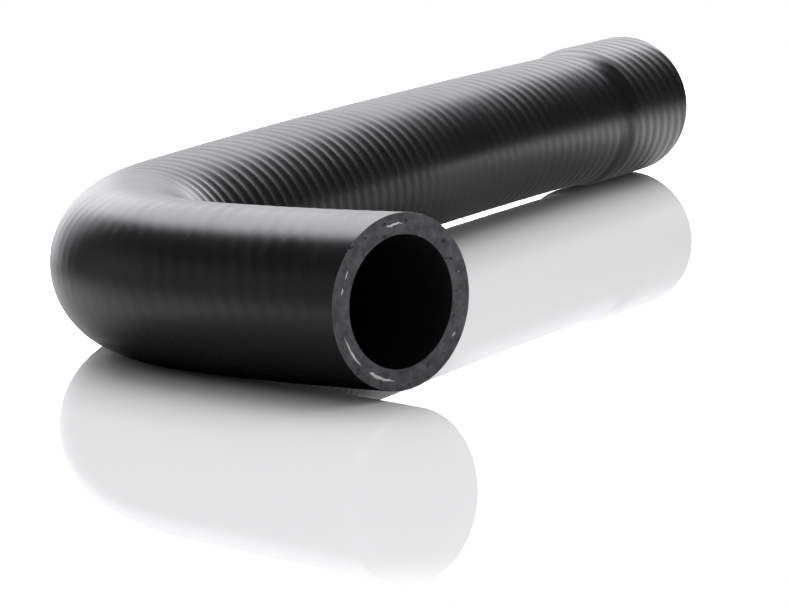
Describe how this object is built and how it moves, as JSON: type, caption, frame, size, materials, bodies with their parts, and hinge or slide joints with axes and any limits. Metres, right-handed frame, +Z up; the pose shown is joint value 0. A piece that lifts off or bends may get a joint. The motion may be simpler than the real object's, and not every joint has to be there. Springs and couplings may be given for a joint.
{
  "type": "fuel filler hose",
  "caption": "Moulded black rubber filler hose: short plain leg, wide elbow and long ribbed leg that ends in a slightly enlarged cuff, open right through.",
  "frame": {"origin": "on the ground, below the middle of the hose's box", "axes": "+X along the cuff's bore, out of its mouth; +Z up; the short leg comes back towards -Y"},
  "size_m": [0.5678, 0.2024, 0.0548],
  "materials": {
    "rubber": "satin black rubber with shallow wrap ribs, matt where it is cut",
    "thread": "cut ends of the pale reinforcing yarn in the end face"
  },
  "bodies": {
    "root": {"hose": "rubber"}
  },
  "joints": []
}
